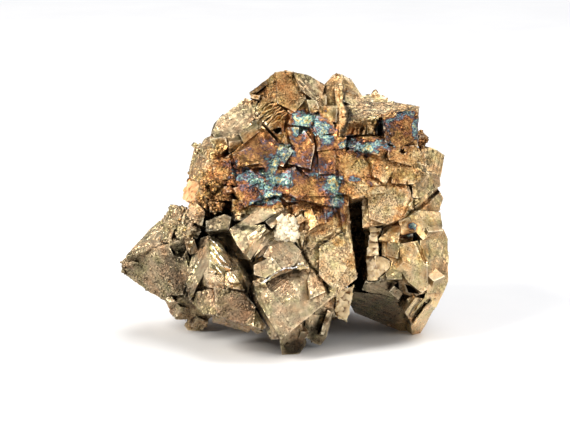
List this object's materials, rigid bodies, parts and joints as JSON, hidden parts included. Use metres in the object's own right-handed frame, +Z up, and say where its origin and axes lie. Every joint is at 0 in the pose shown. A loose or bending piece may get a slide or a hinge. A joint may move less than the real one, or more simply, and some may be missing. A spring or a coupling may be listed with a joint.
{
  "type": "pyrite with quartz specimen",
  "caption": "Hand specimen of intergrown pyrite cubes and plates with a deep gap, patches of bright tarnish and a little milky quartz, standing on low feet.",
  "frame": {"origin": "on the surface the specimen stands on, under the middle of its bounding box", "axes": "+X to the viewer's right, along the longest extent; +Z up; the viewer is at -Y"},
  "size_m": [0.066, 0.0506, 0.0533],
  "materials": {
    "pyrite": "metallic brass-yellow crystal faces, granular between them, with patches of orange-brown, purple and blue-green tarnish",
    "quartz_milky": "milky, vitreous, cracked",
    "quartz_peach": "iron-stained peach quartz, vitreous",
    "quartz_tan": "dull tan quartz, cross-ribbed"
  },
  "bodies": {
    "root": {"pyrite_cluster": "pyrite", "quartz_front": "quartz_milky", "quartz_left": "quartz_peach", "quartz_chasm": "quartz_tan", "quartz_under": "quartz_tan", "quartz_right": "quartz_milky"}
  },
  "joints": []
}
